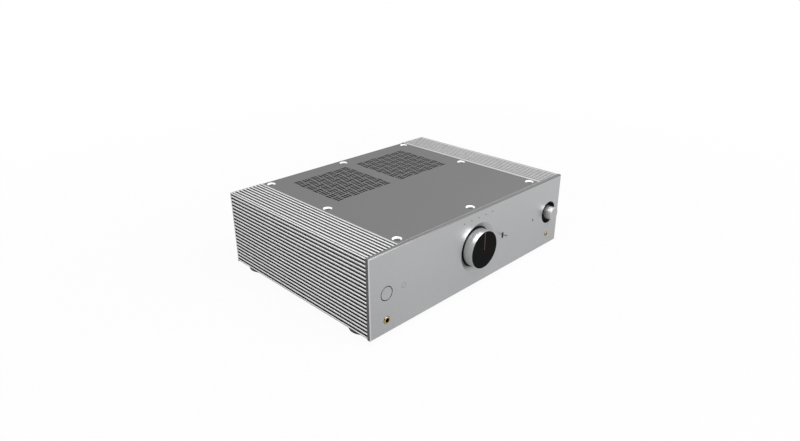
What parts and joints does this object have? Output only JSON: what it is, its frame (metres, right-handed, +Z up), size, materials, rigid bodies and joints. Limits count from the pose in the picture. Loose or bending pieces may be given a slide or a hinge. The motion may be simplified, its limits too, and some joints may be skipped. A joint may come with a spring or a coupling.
{
  "type": "network preamplifier",
  "caption": "Full-width hi-fi preamplifier with finned aluminium sides, a slotted top cover, a recessed volume knob, a selector knob, front jacks and rear sockets.",
  "frame": {"origin": "under the middle of the object's outer box, on the plane that the feet stand on", "axes": "+X to the right of someone facing the front, +Y from the front to the rear, +Z up"},
  "size_m": [0.43, 0.34, 0.1282],
  "materials": {
    "front_aluminium": "fine satin, clear anodised",
    "profile_aluminium": "bright satin, clear anodised",
    "cover_metal": "dark grey satin coating",
    "black_sheet": "black satin coating",
    "plate_steel": "dark grey coating",
    "screw_steel": "black-nickel screws",
    "inner_steel": "plated",
    "foot_metal": "black satin",
    "pad_rubber": "matt",
    "knob_aluminium": "turned, clear anodised",
    "knob_black": "black gloss",
    "pointer_copper": "copper-coloured line",
    "gold_plate": "gold plated",
    "black_plastic": "black moulded",
    "light_plastic": "off-white moulded",
    "lens_dark": "smoked lens",
    "board_laminate": "green circuit board",
    "winding": "taped copper winding",
    "can_black": "sleeved capacitor can"
  },
  "bodies": {
    "chassis": {"front_panel": "front_aluminium", "front_subframe": "black_sheet", "side_profile_left": "profile_aluminium", "side_profile_right": "profile_aluminium", "top_cover": "cover_metal", "bottom_plate": "plate_steel", "rear_panel": "black_sheet", "cover_screws": "screw_steel", "subframe_screws": "screw_steel", "panel_screws": "screw_steel", "rear_screws": "screw_steel", "bottom_screws": "screw_steel", "feet": "foot_metal", "foot_pads": "pad_rubber", "foot_screws": "screw_steel", "volume_control": "inner_steel", "volume_nut": "screw_steel", "selector_switch": "inner_steel", "selector_nut": "screw_steel", "power_switch": "black_plastic", "toggle_body": "black_plastic", "input_leds": "lens_dark", "remote_eye": "lens_dark", "front_board": "board_laminate", "front_board_spacers": "inner_steel", "headphone_ring": "gold_plate", "headphone_jack": "black_plastic", "aux_ring": "gold_plate", "aux_jack": "black_plastic", "transformer": "winding", "transformer_washer": "inner_steel", "transformer_bolt": "inner_steel", "power_board": "board_laminate", "filter_capacitors": "can_black", "main_board": "board_laminate", "network_module": "inner_steel", "board_standoffs": "inner_steel", "board_screws": "inner_steel", "phono_shells": "gold_plate", "phono_insulators": "light_plastic", "xlr_shells": "inner_steel", "xlr_inserts": "black_plastic", "ethernet_socket": "inner_steel", "usb_socket": "inner_steel", "optical_sockets": "black_plastic", "trigger_jacks": "black_plastic", "mains_inlet": "black_plastic", "inlet_pins": "gold_plate", "mains_switch_body": "black_plastic", "ground_post": "gold_plate"},
    "volume_dial": {"volume_knob": "knob_aluminium", "volume_knob_face": "knob_black", "volume_pointer": "pointer_copper", "volume_shaft": "inner_steel"},
    "selector_dial": {"selector_knob": "knob_aluminium", "selector_shaft": "inner_steel"},
    "power_key": {"power_button": "front_aluminium"},
    "toggle": {"toggle_lever": "inner_steel"},
    "rocker": {"mains_rocker": "black_plastic"},
    "fuse_tray": {"fuse_drawer": "black_plastic"}
  },
  "joints": [
    {"name": "volume_turn", "type": "hinge", "parent": "chassis", "child": "volume_dial", "pos_m": [0, -0.15835, 0.0695], "axis": [0, 1, 0], "range_deg": [-150, 150]},
    {"name": "selector_turn", "type": "hinge", "parent": "chassis", "child": "selector_dial", "pos_m": [0.1855, -0.15835, 0.0695], "axis": [0, 1, 0], "range_deg": [-60, 60]},
    {"name": "power_press", "type": "slide", "parent": "chassis", "child": "power_key", "axis": [0, 1, 0], "range_m": [0, 0.0016], "stiffness_N_per_m": 400, "springref_m": -0.004},
    {"name": "toggle_flip", "type": "hinge", "parent": "chassis", "child": "toggle", "pos_m": [0.0593, -0.15495, 0.0695], "axis": [1, 0, 0], "range_deg": [0, 19.2]},
    {"name": "rocker_tip", "type": "hinge", "parent": "chassis", "child": "rocker", "pos_m": [-0.124, 0.15485, 0.054], "axis": [-1, 0, 0], "range_deg": [0, 16]},
    {"name": "fuse_pull", "type": "slide", "parent": "chassis", "child": "fuse_tray", "axis": [0, 1, 0], "range_m": [0, 0.012]}
  ]
}
